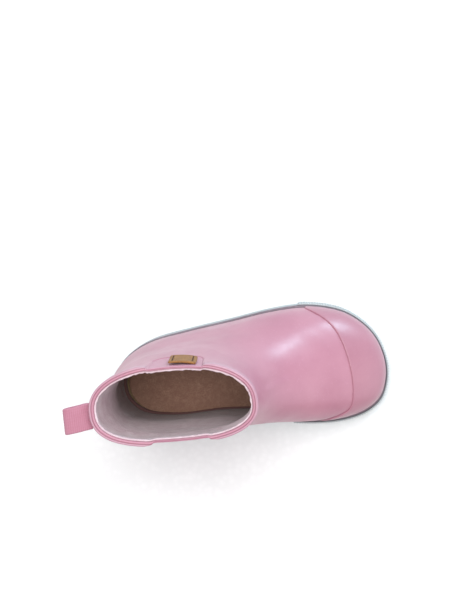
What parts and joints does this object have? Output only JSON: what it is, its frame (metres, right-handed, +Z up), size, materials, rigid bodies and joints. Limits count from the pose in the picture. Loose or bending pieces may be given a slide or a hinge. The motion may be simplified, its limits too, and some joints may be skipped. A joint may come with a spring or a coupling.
{
  "type": "child's rubber rain boot",
  "caption": "Low rubber rain boot for a child's left foot, with a ribbed toe bumper, heel pull loop, side label and lift-out insole.",
  "frame": {"origin": "on the ground under the middle of the sole, on the flat underside of the outsole", "axes": "+X towards the toe, +Y towards the outer side of the left foot, +Z up the shaft"},
  "size_m": [0.1929, 0.0803, 0.13],
  "materials": {
    "pink_rubber": "satin",
    "grey_rubber": "matte",
    "dark_grey_rubber": "matte",
    "lining_knit": "matte",
    "stiffener_felt": "matte",
    "fibre_board": "matte",
    "foam": "matte",
    "insole_leather": "matte",
    "tan_leather": "satin",
    "brown_thread": "matte",
    "pink_webbing": "matte"
  },
  "bodies": {
    "boot": {"outsole": "grey_rubber", "bottom_filler": "foam", "insole_board": "fibre_board", "foxing_strip": "grey_rubber", "edge_stripe": "dark_grey_rubber", "toe_bumper": "grey_rubber", "upper": "pink_rubber", "side_panel_lateral": "pink_rubber", "side_panel_medial": "pink_rubber", "toe_cap": "pink_rubber", "collar_strip_front": "pink_rubber", "collar_strip_rear": "pink_rubber", "lining": "lining_knit", "toe_puff": "stiffener_felt", "instep_ply": "stiffener_felt", "heel_stiffener": "stiffener_felt", "side_label": "tan_leather", "label_stitch_front": "brown_thread", "label_stitch_rear": "brown_thread", "loop_tail": "pink_webbing", "loop_patch": "pink_rubber"},
    "loop": {"pull_loop": "pink_webbing"},
    "insole": {"insole_foam": "foam", "insole_cover": "insole_leather"}
  },
  "joints": [
    {"name": "loop_swing", "type": "hinge", "parent": "boot", "child": "loop", "pos_m": [-0.0883, -0.003, 0.117], "axis": [0, 1, 0], "range_deg": [-35, 55], "stiffness_Nm_per_rad": 0.004},
    {"name": "insole_lift", "type": "hinge", "parent": "boot", "child": "insole", "pos_m": [0.0808, 0, 0.0097], "axis": [0, 1, 0], "range_deg": [0, 10]}
  ]
}
